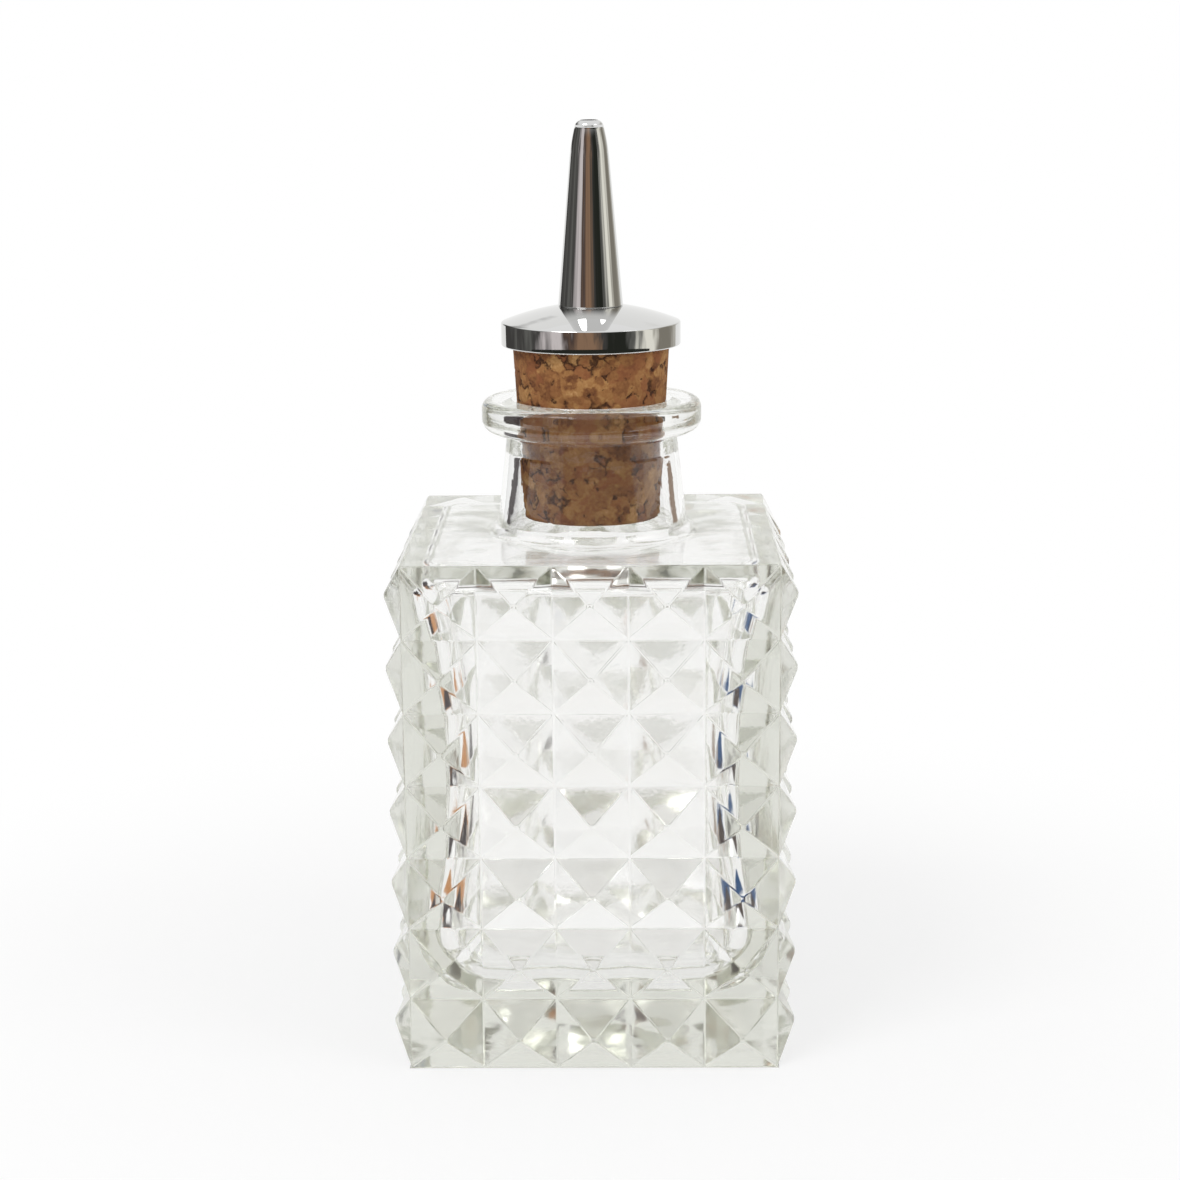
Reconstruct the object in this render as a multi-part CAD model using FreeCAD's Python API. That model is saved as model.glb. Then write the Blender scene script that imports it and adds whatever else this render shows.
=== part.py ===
import FreeCAD, Part
import math
import os

# Square faceted glass bitters bottle with a cork dasher stopper.
# Millimetres, +Z up. The origin is the centre of the base that the bottle stands on,
# and +X and +Y are square to the faceted sides.

# Glass body
body_width = 53.0  # across the valleys between the facets
body_height = 74.4  # base to flat shoulder
facet_columns = 5
facet_rows = 7
facet_height = 2.7  # valley plane to pyramid tip
facet_tip_width = 0.7  # blunt end of each pyramid
base_recess_diameter = 36.0  # shallow dish under the base
base_recess_depth = 0.8

# Space inside the glass
base_thickness = 11.5
shoulder_thickness = 3.2
panel_wall_top = 2.7  # glass from a valley to the inside, under the shoulder
panel_wall_waist = 5.5  # the same at the waist, where the glass is thickest
panel_wall_bottom = 3.3  # the same just above the floor's round
waist_height = 43.0
inside_corner_radius = 4.0
inside_heel_radius = 7.5  # the upright corners widen to this at the floor
inside_heel_height = 8.0  # how far above the floor's round they start to widen
roof_round = 1.6  # between the panels and the roof
floor_round = 5.5  # between the panels and the floor
throat_diameter = 24.4  # where the neck opens into the body
throat_round = 2.4

# Neck and lip
neck_height = 19.5  # shoulder to lip top
neck_wall = 1.9
neck_root_round = 2.0
lip_height = 4.7
lip_wall = 5.1  # mouth to the outside of the lip
lip_top_round = 1.3
lip_under_round = 1.8
lip_root_round = 0.7
mouth_round = 0.7
seat_length = 8.2  # ground part of the mouth that the cork seals in

# Cork
cork_length = 27.4
cork_top_diameter = 23.2
cork_bottom_diameter = 19.9
cork_insertion = 17.3  # depth of the cork's end below the lip
cork_edge_round = 0.5
seat_clearance = 0.05  # cork to glass, all round
turning_clearance = 0.05  # metal to cork, all round

# Chrome cap over the cork
cap_wall = 1.1
cap_clearance = 0.4  # skirt to cork, all round
cap_recess_depth = 2.2  # how far the skirt comes down over the cork
cap_skirt_height = 3.3
cap_dome_rise = 2.3  # rim to the flat land that the spout stands on
cap_edge_round = 0.25

# Dasher spout
spout_height = 26.6
spout_base_diameter = 9.5
spout_shoulder_diameter = 5.3  # where the cone ends and the nose begins
spout_nose_length = 3.0
spout_tip_diameter = 3.7
spout_nose_round = 1.1
spout_base_round = 0.2
orifice_diameter = 2.2
orifice_length = 2.0
socket_depth = 7.0  # the tube screws this far into the spout
socket_relief = 0.6  # room above the tube's end

# Tube through the cork
tube_outer_diameter = 7.0
tube_inner_diameter = 5.0
tube_rim_diameter = 10.0  # flare that holds the cork up against the cap
tube_rim_height = 0.9
tube_rim_round = 0.3
joint_clearance = 0.02  # thread of the tube in the spout and hole of the cap, all round

# One overrun for every cut that has to pass a surface
overrun = 2.0

# Heights, from the base up
cavity_floor = base_thickness
heel_bottom = cavity_floor + floor_round
heel_top = heel_bottom + inside_heel_height
cavity_roof = body_height - shoulder_thickness
roof_start = cavity_roof - roof_round
lip_top = body_height + neck_height
lip_bottom = lip_top - lip_height
cork_bottom = lip_top - cork_insertion
cork_top = cork_bottom + cork_length
cap_bottom = cork_top - cap_recess_depth
cap_rim = cap_bottom + cap_skirt_height
cap_land = cap_rim + cap_dome_rise
spout_tip = cap_land + spout_height
tube_bottom = cork_bottom - tube_rim_height
tube_top = cap_land + socket_depth

SIDES = 4
FULL_TURN = 360
QUARTER_TURN = FULL_TURN / SIDES
AXIS = FreeCAD.Vector(0, 0, 1)
ORIGIN = FreeCAD.Vector(0, 0, 0)


def cork_radius(height):
    """Radius of the tapered cork at a height."""
    up = (height - cork_bottom) / cork_length
    return (cork_bottom_diameter + (cork_top_diameter - cork_bottom_diameter) * up) / 2


def round_corner(before, corner, after, radius):
    """Tangent points of a rounded corner, and the point half way along its arc."""
    back = (before - corner).normalize()
    ahead = (after - corner).normalize()
    half_angle = back.getAngle(ahead) / 2
    reach = radius / math.tan(half_angle)
    middle = (back + ahead).normalize()
    to_arc = radius / math.sin(half_angle) - radius
    return corner + back * reach, corner + middle * to_arc, corner + ahead * reach


def lathe(outline):
    """Solid turned about the axis from (radius, height) corners; a third number rounds a corner."""
    corners = [FreeCAD.Vector(point[0], 0, point[1]) for point in outline]
    rounds = [point[2] if len(point) > 2 else 0 for point in outline]
    edges = []
    ends = []
    for index, corner in enumerate(corners):
        if rounds[index] == 0:
            ends.append((corner, corner))
            continue
        after = corners[(index + 1) % len(corners)]
        start, middle, stop = round_corner(corners[index - 1], corner, after, rounds[index])
        edges.append(Part.Arc(start, middle, stop).toShape())
        ends.append((start, stop))
    for index, (start, stop) in enumerate(ends):
        edges.append(Part.makeLine(ends[index - 1][1], start))
    wire = Part.Wire(Part.__sortEdges__(edges))
    return Part.Face(wire).revolve(ORIGIN, AXIS, FULL_TURN)


def polygon_face(points):
    """Flat face through a closed row of points."""
    return Part.Face(Part.makePolygon(list(points) + [points[0]]))


def pyramid_faces(left, bottom, width, height, face_distance):
    """Four flanks and the blunt tip of one facet on the +X side; left runs along +Y."""
    base = [
        FreeCAD.Vector(face_distance, left + width * across, bottom + height * up)
        for across, up in ((0, 0), (1, 0), (1, 1), (0, 1))
    ]
    centre = (base[0] + base[2]) / 2 + FreeCAD.Vector(facet_height, 0, 0)
    half_tip = facet_tip_width / 2
    tip = [
        centre + FreeCAD.Vector(0, half_tip * across, half_tip * up)
        for across, up in ((-1, -1), (1, -1), (1, 1), (-1, 1))
    ]
    faces = [polygon_face(tip)]
    for index in range(len(base)):
        following = (index + 1) % len(base)
        faces.append(polygon_face([base[index], base[following], tip[following], tip[index]]))
    return faces


def faceted_body():
    """Closed block with rows of pyramids on its four sides."""
    column_width = body_width / facet_columns
    row_height = body_height / facet_rows
    half = body_width / 2
    side = []
    for column in range(facet_columns):
        for row in range(facet_rows):
            side += pyramid_faces(
                column_width * column - half, row_height * row, column_width, row_height, half
            )
    faces = []
    for quarter in range(SIDES):
        for face in side:
            turned = face.copy()
            turned.rotate(ORIGIN, AXIS, QUARTER_TURN * quarter)
            faces.append(turned)
    edge = [FreeCAD.Vector(half, column_width * i - half, 0) for i in range(facet_columns)]
    outline = []
    for quarter in range(SIDES):
        turn = FreeCAD.Rotation(AXIS, QUARTER_TURN * quarter)
        outline += [turn.multVec(point) for point in edge]
    for height in (0, body_height):
        faces.append(polygon_face([point + AXIS * height for point in outline]))
    shell = Part.makeShell(faces)
    shell.sewShape()
    solid = Part.makeSolid(shell)
    if solid.Volume < 0:
        solid.reverse()
    return solid


def rounded_square(half_width, corner_radius, height):
    """Closed wire of a square with round corners about the axis."""
    straight = half_width - corner_radius
    diagonal = straight + corner_radius * math.sqrt(0.5)
    corner = [
        FreeCAD.Vector(half_width, straight, height),
        FreeCAD.Vector(diagonal, diagonal, height),
        FreeCAD.Vector(straight, half_width, height),
    ]
    edges = []
    for quarter in range(SIDES):
        turn = FreeCAD.Rotation(AXIS, QUARTER_TURN * quarter)
        following = FreeCAD.Rotation(AXIS, QUARTER_TURN * (quarter + 1))
        start, middle, stop = [turn.multVec(point) for point in corner]
        edges.append(Part.Arc(start, middle, stop).toShape())
        edges.append(Part.makeLine(stop, following.multVec(corner[0])))
    return Part.Wire(edges)


def hollow_section(height):
    """Section of the hollow: narrow at the waist, and with wider corners at the heel."""
    level = min(max(height, heel_bottom), roof_start)
    end, wall = (roof_start, panel_wall_top) if level > waist_height else (heel_bottom, panel_wall_bottom)
    bow = ((level - waist_height) / (end - waist_height)) ** 2
    half_width = body_width / 2 - panel_wall_waist + (panel_wall_waist - wall) * bow
    heel = max(0, 1 - (level - heel_bottom) / inside_heel_height)
    corner = inside_corner_radius + (inside_heel_radius - inside_corner_radius) * heel**2
    return rounded_square(half_width, corner, height)


def body_cavity():
    """Waisted square hollow with a rounded roof and a rounder floor."""
    heel_middle = (heel_bottom + heel_top) / 2
    above_heel = (heel_top + waist_height) / 2
    above_waist = (waist_height + roof_start) / 2
    heights = [cavity_floor, heel_bottom, heel_middle, heel_top, above_heel]
    heights += [waist_height, above_waist, roof_start, cavity_roof]
    hollow = Part.makeLoft([hollow_section(height) for height in heights], True, False)
    ends = [face for face in hollow.Faces if isinstance(face.Surface, Part.Plane)]
    floor, roof = sorted(ends, key=lambda face: face.CenterOfMass.z)
    return hollow.makeFillet(floor_round, floor.Edges).makeFillet(roof_round, roof.Edges)


def neck_bore():
    """Inside of the neck: a tapered seat for the cork, then a flare into the body."""
    seat_bottom = lip_top - seat_length
    mouth_radius = cork_radius(lip_top) + seat_clearance
    seat_end_radius = cork_radius(seat_bottom) + seat_clearance
    throat_radius = throat_diameter / 2
    flare_radius = throat_radius + shoulder_thickness
    above = lip_top + overrun
    return lathe([
        (0, cavity_roof - overrun),
        (flare_radius, cavity_roof - overrun),
        (flare_radius, cavity_roof),
        (throat_radius, body_height, throat_round),
        (seat_end_radius, seat_bottom),
        (mouth_radius, lip_top - mouth_round),
        (mouth_radius + mouth_round, lip_top),
        (mouth_radius + mouth_round, above),
        (0, above),
    ])


def neck_outside():
    """Solid neck with its lip, standing on the shoulder."""
    seat_bottom = lip_top - seat_length
    neck_top_radius = cork_radius(seat_bottom) + seat_clearance + neck_wall
    neck_root_radius = throat_diameter / 2 + neck_wall
    lip_radius = cork_radius(lip_top) + seat_clearance + lip_wall
    foot_radius = neck_root_radius + neck_root_round + overrun
    buried = body_height - shoulder_thickness / 2
    return lathe([
        (0, buried),
        (foot_radius, buried),
        (foot_radius, body_height),
        (neck_root_radius, body_height, neck_root_round),
        (neck_top_radius, lip_bottom, lip_root_round),
        (lip_radius, lip_bottom, lip_under_round),
        (lip_radius, lip_top, lip_top_round),
        (0, lip_top),
    ])


def base_recess():
    """Shallow dish cut into the underside, so that the bottle stands on its edge."""
    radius = base_recess_diameter / 2
    dish_radius = (radius**2 + base_recess_depth**2) / (2 * base_recess_depth)
    centre = FreeCAD.Vector(0, 0, base_recess_depth - dish_radius)
    return Part.makeSphere(dish_radius, centre)


def glass_bottle():
    """Moulded glass: faceted body, shoulder, neck and lip in one piece."""
    outside = faceted_body().fuse(neck_outside())
    inside = body_cavity().fuse(neck_bore())
    return outside.cut(inside).cut(base_recess()).removeSplitter()


def cork_stopper():
    """Tapered cork with a bore for the tube."""
    bore_radius = tube_outer_diameter / 2 + turning_clearance
    return lathe([
        (bore_radius, cork_bottom),
        (cork_bottom_diameter / 2, cork_bottom, cork_edge_round),
        (cork_top_diameter / 2, cork_top, cork_edge_round),
        (bore_radius, cork_top),
    ])


def flange_cap():
    """Domed chrome cap: a plate with a flat land for the spout and a skirt round the cork."""
    inner_radius = cork_top_diameter / 2 + cap_clearance
    outer_radius = inner_radius + cap_wall
    land_radius = spout_base_diameter / 2
    hole_radius = tube_outer_diameter / 2 + joint_clearance
    dome_radius = (land_radius + outer_radius) / 2
    fall = (dome_radius**2 - land_radius**2) / (outer_radius**2 - land_radius**2)

    def at(radius, height):
        return FreeCAD.Vector(radius, 0, height)

    rim = at(outer_radius, cap_rim)
    land = at(land_radius, cap_land)
    dome = Part.Arc(rim, at(dome_radius, cap_land - cap_dome_rise * fall), land).toShape()
    corners = [
        land,
        at(hole_radius, cap_land),
        at(hole_radius, cork_top),
        at(inner_radius, cork_top),
        at(inner_radius, cap_bottom),
        at(outer_radius, cap_bottom),
        rim,
    ]
    lines = [Part.makeLine(a, b) for a, b in zip(corners, corners[1:])]
    cap = Part.Face(Part.Wire([dome] + lines)).revolve(ORIGIN, AXIS, FULL_TURN)
    rim_edges = [
        edge
        for edge in cap.Edges
        if isinstance(edge.Curve, Part.Circle)
        and math.isclose(edge.Curve.Radius, outer_radius)
    ]
    return cap.makeFillet(cap_edge_round, rim_edges)


def dasher_spout():
    """Turned conical spout with a rounded nose, a socket for the tube and a small orifice."""
    nose = spout_tip - spout_nose_length
    socket_top = tube_top + socket_relief
    socket_radius = tube_outer_diameter / 2 + joint_clearance
    return lathe([
        (socket_radius, cap_land),
        (spout_base_diameter / 2, cap_land, spout_base_round),
        (spout_shoulder_diameter / 2, nose),
        (spout_tip_diameter / 2, spout_tip, spout_nose_round),
        (orifice_diameter / 2, spout_tip),
        (orifice_diameter / 2, spout_tip - orifice_length),
        (tube_inner_diameter / 2, socket_top),
        (socket_radius, socket_top),
    ])


def stem_tube():
    """Tube that runs through cork and cap into the spout, flared under the cork."""
    outer_radius = tube_outer_diameter / 2
    inner_radius = tube_inner_diameter / 2
    return lathe([
        (inner_radius, tube_bottom),
        (tube_rim_diameter / 2, tube_bottom, tube_rim_round),
        (tube_rim_diameter / 2, cork_bottom, tube_rim_round),
        (outer_radius, cork_bottom),
        (outer_radius, tube_top),
        (inner_radius, tube_top),
    ])


def main():
    os.makedirs("parts", exist_ok=True)
    makers = [glass_bottle, cork_stopper, flange_cap, dasher_spout, stem_tube]
    for make in makers:
        shape = make()
        shape.exportStep("parts/" + make.__name__ + ".step")
        box = shape.BoundBox
        print(
            make.__name__,
            "solids", len(shape.Solids),
            "valid", shape.isValid(),
            "volume %.1f" % shape.Volume,
            "height %.2f to %.2f" % (box.ZMin, box.ZMax),
            "width %.2f" % box.XLength,
        )


main()
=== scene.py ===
# %% [markdown]
# This lesson dresses a square bitters bottle of pressed glass, closed by a cork with a bright dasher
# top. The CAD model is the frame: it says where each piece is, how big it is and what moves with
# what. Its solids could be rendered as they are, but their edges are sharp and their colours flat.
# So every piece gets a finer mesh and a finish here, in metres, in that same frame.

# %% Load the frame
import math

import bmesh
import bpy
from mathutils import Matrix, Vector


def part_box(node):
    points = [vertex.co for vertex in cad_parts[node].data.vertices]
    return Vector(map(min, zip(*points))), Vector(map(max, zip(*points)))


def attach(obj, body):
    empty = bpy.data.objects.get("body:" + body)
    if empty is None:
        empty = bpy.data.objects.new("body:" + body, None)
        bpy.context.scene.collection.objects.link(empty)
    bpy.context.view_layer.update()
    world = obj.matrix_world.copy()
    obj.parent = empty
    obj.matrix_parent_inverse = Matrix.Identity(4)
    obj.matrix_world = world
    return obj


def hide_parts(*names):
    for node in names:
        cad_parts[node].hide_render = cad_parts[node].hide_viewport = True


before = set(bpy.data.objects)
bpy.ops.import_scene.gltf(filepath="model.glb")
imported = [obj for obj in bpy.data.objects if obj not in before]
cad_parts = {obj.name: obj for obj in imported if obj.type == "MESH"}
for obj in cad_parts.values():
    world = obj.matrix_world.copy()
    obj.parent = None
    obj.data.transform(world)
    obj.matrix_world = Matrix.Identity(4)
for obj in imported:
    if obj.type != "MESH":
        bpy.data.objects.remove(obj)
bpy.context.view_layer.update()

print("nodes:", sorted(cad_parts))

# %% [markdown]
# Each finish below is a node tree. Its nodes could be added and linked one by one, but then the idea
# drowns in wiring. So sums are written as sums: a Value is one output socket, and an operator on it
# adds a Math node. The reflected forms are there so that 1 - mask works too.

# %% Sums on sockets


class Value:
    """One output socket of a node tree, ready for sums."""

    def __init__(self, graph, socket):
        self.graph = graph
        self.socket = socket

    def __add__(self, other):
        return self.graph.maths("ADD", self, other)

    def __radd__(self, other):
        return self.graph.maths("ADD", other, self)

    def __sub__(self, other):
        return self.graph.maths("SUBTRACT", self, other)

    def __rsub__(self, other):
        return self.graph.maths("SUBTRACT", other, self)

    def __mul__(self, other):
        return self.graph.maths("MULTIPLY", self, other)

    def __rmul__(self, other):
        return self.graph.maths("MULTIPLY", other, self)

    def __truediv__(self, other):
        return self.graph.maths("DIVIDE", self, other)

    def __rtruediv__(self, other):
        return self.graph.maths("DIVIDE", other, self)

    def larger(self, other):
        return self.graph.maths("MAXIMUM", self, other)


print("what a Value can do:", [name for name, made in vars(Value).items() if callable(made)])

# %% [markdown]
# Every other node comes from one method, which takes the node's type, its settings, and a value or
# a link for each socket. Settings go first, because some of them change which sockets a node has.
# Shader trees and Geometry Nodes trees are built alike, so both use the same class.

# %% One method for every node


class Graph:
    """A node tree, with one method that makes any node."""

    def __init__(self, tree):
        self.tree = tree

    def node(self, kind, settings=None, inputs=None, output=0):
        made = self.tree.nodes.new(kind)
        for name, setting in (settings or {}).items():
            if name == "stops":
                self.set_stops(made.color_ramp, setting)
            else:
                setattr(made, name, setting)
        for key, value in (inputs or {}).items():
            self.fill(made.inputs[key], value)
        if isinstance(output, tuple):
            return [Value(self, made.outputs[key]) for key in output]
        return Value(self, made.outputs[output]) if len(made.outputs) else None

    def fill(self, socket, value):
        if isinstance(value, Value):
            self.tree.links.new(value.socket, socket)
        elif socket.type == "RGBA":
            socket.default_value = (*value, 1.0)
        else:
            socket.default_value = value

    def maths(self, operation, *operands):
        return self.node("ShaderNodeMath", {"operation": operation}, dict(enumerate(operands)))

    @staticmethod
    def set_stops(ramp, stops):
        while len(ramp.elements) < len(stops):
            ramp.elements.new(1.0)
        for element, (place, colour) in zip(ramp.elements, stops):
            element.position = place
            element.color = (*colour, 1.0)


print("one method makes any node:", Graph.node.__name__)

# %% [markdown]
# A few moves come back in the finishes: start a material, close it, look up a noise, turn a soft
# threshold into a mask, blend two colours and measure from the axis. They could be written out each
# time, but as functions they keep the finishes short.

# %% Moves that the finishes share


def new_material(name):
    """An empty material and its graph."""
    material = bpy.data.materials.new(name)
    material.use_nodes = True
    material.node_tree.nodes.clear()
    return material, Graph(material.node_tree)


def surface(graph, shader, volume=None):
    """Closes a material's graph with its output node."""
    inputs = {"Surface": shader}
    if volume is not None:
        inputs["Volume"] = volume
    graph.node("ShaderNodeOutputMaterial", None, inputs)


def noise(graph, place, scale, detail=1.0, output=0):
    """A noise from 0 to 1; its Color output is three noises at once."""
    sockets = {"Vector": place, "Scale": scale, "Detail": detail}
    return graph.node("ShaderNodeTexNoise", None, sockets, output)


def remap(graph, value, low, high, to_low=0.0, to_high=1.0):
    """Smooth step of a value from one range to another."""
    sockets = {"Value": value, 1: low, 2: high, 3: to_low, 4: to_high}
    return graph.node("ShaderNodeMapRange", {"interpolation_type": "SMOOTHSTEP"}, sockets)


def blend(graph, share, first, second):
    """The first colour, going over to the second as the share grows."""
    return graph.node("ShaderNodeMix", {"data_type": "RGBA"}, {0: share, 6: first, 7: second}, 2)


def vector_maths(graph, operation, inputs, output=0):
    return graph.node("ShaderNodeVectorMath", {"operation": operation}, inputs, output)


def axis_reach(graph, place):
    """Distance from the upright axis."""
    flat = vector_maths(graph, "MULTIPLY", {0: place, 1: (1, 1, 0)})
    return vector_maths(graph, "LENGTH", {0: flat}, "Value")


print("shared moves ready")

# %% [markdown]
# The bottle is pressed glass. The mould leaves its body a little wavy and hazy, and the neck is
# polished in a flame. Thick glass is faintly grey-green. That tint could be the surface colour, but
# then thin and thick glass would look alike. So the surface is colourless, and a volume inside it
# swallows some light along the way.

# %% Finish: pressed glass
MM = 0.001
body_height = 74.4 * MM
polish_step = 3.0 * MM
body_haze = 0.085
neck_haze = 0.0
swell_scale = 0.12 / MM
ripple_scale = 0.5 / MM
ripple_share = 0.1
wave_strength = 0.18
wave_depth = 1.0 * MM
colourless = (1.0, 1.0, 1.0)
glass_ior = 1.5
grey_green = (0.49, 0.51, 0.38)
grey_green_density = 11.0


def pressed_glass():
    material, graph = new_material("pressed_glass")
    place = graph.node("ShaderNodeTexCoord", output="Object")
    height = graph.node("ShaderNodeSeparateXYZ", None, {0: place}, "Z")
    haze = remap(graph, height, body_height, body_height + polish_step, body_haze, neck_haze)
    swell = noise(graph, place, swell_scale)
    ripple = noise(graph, place, ripple_scale, detail=2.0)
    waves = graph.node("ShaderNodeBump", None, {
        "Height": swell * (1 - ripple_share) + ripple * ripple_share,
        "Strength": wave_strength,
        "Distance": wave_depth,
    })
    shader = graph.node("ShaderNodeBsdfPrincipled", None, {
        "Base Color": colourless,
        "Roughness": haze,
        "IOR": glass_ior,
        "Transmission Weight": 1.0,
        "Normal": waves,
    })
    tint = graph.node("ShaderNodeVolumeAbsorption", None, {
        "Color": grey_green,
        "Density": grey_green_density,
    })
    surface(graph, shader, tint)
    return material


glass_finish = pressed_glass()
print("finish:", glass_finish.name)

# %% [markdown]
# The cap and spout are turned and brightly plated, and the tube inside them is plain drawn metal. A
# perfect mirror looks unreal and an even roughness looks painted. So the roughness is low, wanders
# with a noise, as wiping and handling leave it, and keeps faint rings from the lathe.

# %% Finish: bright plating and drawn tube
smear_scale = 0.35 / MM
ring_scale = 2.5 / MM
ring_shut = 0.45
ring_full = 0.60
chrome_grey = (0.68, 0.68, 0.675)
chrome_roughness = 0.02
tube_grey = (0.62, 0.61, 0.59)
tube_roughness = 0.16


def lathe_rings(graph, place):
    """Fine rings round the axis, from 0 to 1, by height and distance from the axis."""
    height = graph.node("ShaderNodeSeparateXYZ", None, {0: place}, "Z")
    line = graph.node("ShaderNodeCombineXYZ", None, {"Z": height + axis_reach(graph, place)})
    return remap(graph, noise(graph, line, ring_scale, detail=3.0), ring_shut, ring_full)


def plated_metal(name, colour, roughness):
    material, graph = new_material(name)
    place = graph.node("ShaderNodeTexCoord", output="Object")
    smear = noise(graph, place, smear_scale, detail=4.0)
    marks = (smear + lathe_rings(graph, place)) * (roughness / 2)
    shader = graph.node("ShaderNodeBsdfPrincipled", None, {
        "Base Color": colour,
        "Metallic": 1.0,
        "Roughness": roughness + marks,
    })
    surface(graph, shader)
    return material


chrome_finish = plated_metal("bright_plating", chrome_grey, chrome_roughness)
tube_finish = plated_metal("drawn_tube", tube_grey, tube_roughness)
print("finishes:", chrome_finish.name, tube_finish.name)

# %% [markdown]
# The stopper is agglomerated cork: granules of bark a few millimetres across, pressed together with
# glue. Here and there a seam between two granules has opened into a crack; painted shade darkens it
# and the small pits. A picture wrapped round the cork would stretch at its rim, so the granules are
# cells of a Voronoi texture in space.
# A noise bends the cells first, because real granules are ragged and not flat-sided.

# %% Granules and cracks
granule_scale = 0.46 / MM
granule_warp = 2.2 * MM
bend_scale = 0.8 / MM
seam_scale = 0.40 / MM
pit_scale = 0.80 / MM
seam_core = 0.02
seam_edge = 0.16
seam_shut = 0.53
seam_open = 0.63
pit_edge = 0.63
pit_core = 0.70


def granule_place(graph, place):
    """The point where the granules are looked up: the real one, pushed about by a noise."""
    bend = noise(graph, place, bend_scale, detail=3.0, output="Color")
    centred = vector_maths(graph, "SUBTRACT", {0: bend, 1: (0.5, 0.5, 0.5)})
    push = vector_maths(graph, "SCALE", {0: centred, "Scale": granule_warp})
    return vector_maths(graph, "ADD", {0: place, 1: push})


def cork_cracks(graph, bent):
    """How far the skin has sunk, from 0 to 1: in open seams between granules and in small pits."""
    gap = graph.node("ShaderNodeTexVoronoi", {"feature": "DISTANCE_TO_EDGE"}, {
        "Vector": bent, "Scale": granule_scale,
    })
    opened = remap(graph, noise(graph, bent, seam_scale), seam_shut, seam_open)
    seams = remap(graph, gap, seam_core, seam_edge, 1.0, 0.0) * opened
    pits = remap(graph, noise(graph, bent, pit_scale, detail=3.0), pit_edge, pit_core)
    return seams.larger(pits)


print("granules about %.1f mm across" % (1 / granule_scale / MM))

# %% [markdown]
# Each granule takes its tone from its cell, from dark bark to pale cork, and some are redder. Plain
# Voronoi cells meet in hard borders, which look like paving. The smooth kind melts each granule
# into the next, and a finer one and a grain break it up. Painted shade in the cracks and pits goes
# last, on top.

# %% Finish: agglomerated cork
grain_scale = 2.6 / MM
speck_scale = 2.3 * granule_scale
granule_melt = 0.35
speck_melt = 0.4
bark_tones = [
    (0.05, (0.125, 0.047, 0.020)),
    (0.30, (0.220, 0.091, 0.034)),
    (0.55, (0.320, 0.150, 0.053)),
    (0.80, (0.410, 0.215, 0.079)),
    (1.00, (0.520, 0.300, 0.128)),
]
red_bark = (0.260, 0.088, 0.038)
# painted shade: a near-black that stands for the shade inside the open seams and pits
painted_crack_shade = (0.040, 0.016, 0.010)
tone_share = 0.6
speck_share = 0.35
grain_share = 0.5
tone_shift = -0.22
red_from = 0.45
red_full = 0.95
red_share = 0.5
# how far painted shade darkens the open seams and pits
crack_shade_share = 0.85
grain_relief = 0.3
relief_strength = 0.6
relief_depth = 0.25 * MM
cork_roughness = 0.82
grain_roughness = 0.12
cork_specular = 0.2


def granule_colour(graph, bent, scale, melt):
    """A random colour for each granule, melted into its neighbours'."""
    sockets = {"Vector": bent, "Scale": scale, "Smoothness": melt}
    return graph.node("ShaderNodeTexVoronoi", {"feature": "SMOOTH_F1"}, sockets, "Color")


def agglomerated_cork():
    material, graph = new_material("cork_granules")
    place = graph.node("ShaderNodeTexCoord", output="Object")
    bent = granule_place(graph, place)
    cracks = cork_cracks(graph, bent)
    large = granule_colour(graph, bent, granule_scale, granule_melt)
    small = granule_colour(graph, bent, speck_scale, speck_melt)
    tone, redness = graph.node("ShaderNodeSeparateColor", None, {0: large}, (0, 1))
    speck = graph.node("ShaderNodeSeparateColor", None, {0: small})
    grain = noise(graph, place, grain_scale, detail=5.0)
    lightness = tone * tone_share + speck * speck_share + grain * grain_share + tone_shift
    bark = graph.node("ShaderNodeValToRGB", {"stops": bark_tones}, {0: lightness})
    redder = blend(graph, remap(graph, redness, red_from, red_full, 0.0, red_share), bark, red_bark)
    rough_skin = graph.node("ShaderNodeBump", None, {
        "Height": grain * grain_relief - cracks,
        "Strength": relief_strength,
        "Distance": relief_depth,
    })
    shader = graph.node("ShaderNodeBsdfPrincipled", None, {
        # painted shade: the base colour goes near-black in the open seams and pits, where shade would fall
        "Base Color": blend(graph, cracks * crack_shade_share, redder, painted_crack_shade),
        "Roughness": cork_roughness + grain * grain_roughness,
        "Specular IOR Level": cork_specular,
        "Normal": rough_skin,
    })
    surface(graph, shader)
    return material


cork_finish = agglomerated_cork()
print("finish:", cork_finish.name)

# %% [markdown]
# Two pieces follow a rule, so Geometry Nodes grow them. A tree could be drawn in the editor and saved
# in a file, but built here it needs no file. Each one gets named inputs, ends in real geometry with
# its material set, and is then turned into a plain mesh.

# %% Growing a mesh with Geometry Nodes


def linked(name, data):
    """A new object at the origin, linked to the scene."""
    made = bpy.data.objects.new(name, data)
    bpy.context.scene.collection.objects.link(made)
    return made


def geometry_tree(name, inputs):
    """A Geometry Nodes tree with named inputs; gives the tree, its graph and the inputs by name."""
    tree = bpy.data.node_groups.new(name, "GeometryNodeTree")
    tree.interface.new_socket("Geometry", in_out="OUTPUT", socket_type="NodeSocketGeometry")
    tree.interface.new_socket("Geometry", in_out="INPUT", socket_type="NodeSocketGeometry")
    for title, kind in inputs:
        tree.interface.new_socket(title, in_out="INPUT", socket_type="NodeSocket" + kind)
    graph = Graph(tree)
    titles = ("Geometry", *(title for title, kind in inputs))
    values = graph.node("NodeGroupInput", output=titles)
    return tree, graph, dict(zip(titles, values))


def close_tree(graph, geometry, material):
    """Ends a tree: real geometry instead of instances, with its material set."""
    real = graph.node("GeometryNodeRealizeInstances", None, {0: geometry})
    painted = graph.node("GeometryNodeSetMaterial", None, {"Geometry": real, "Material": material})
    graph.node("NodeGroupOutput", None, {0: painted})


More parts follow.
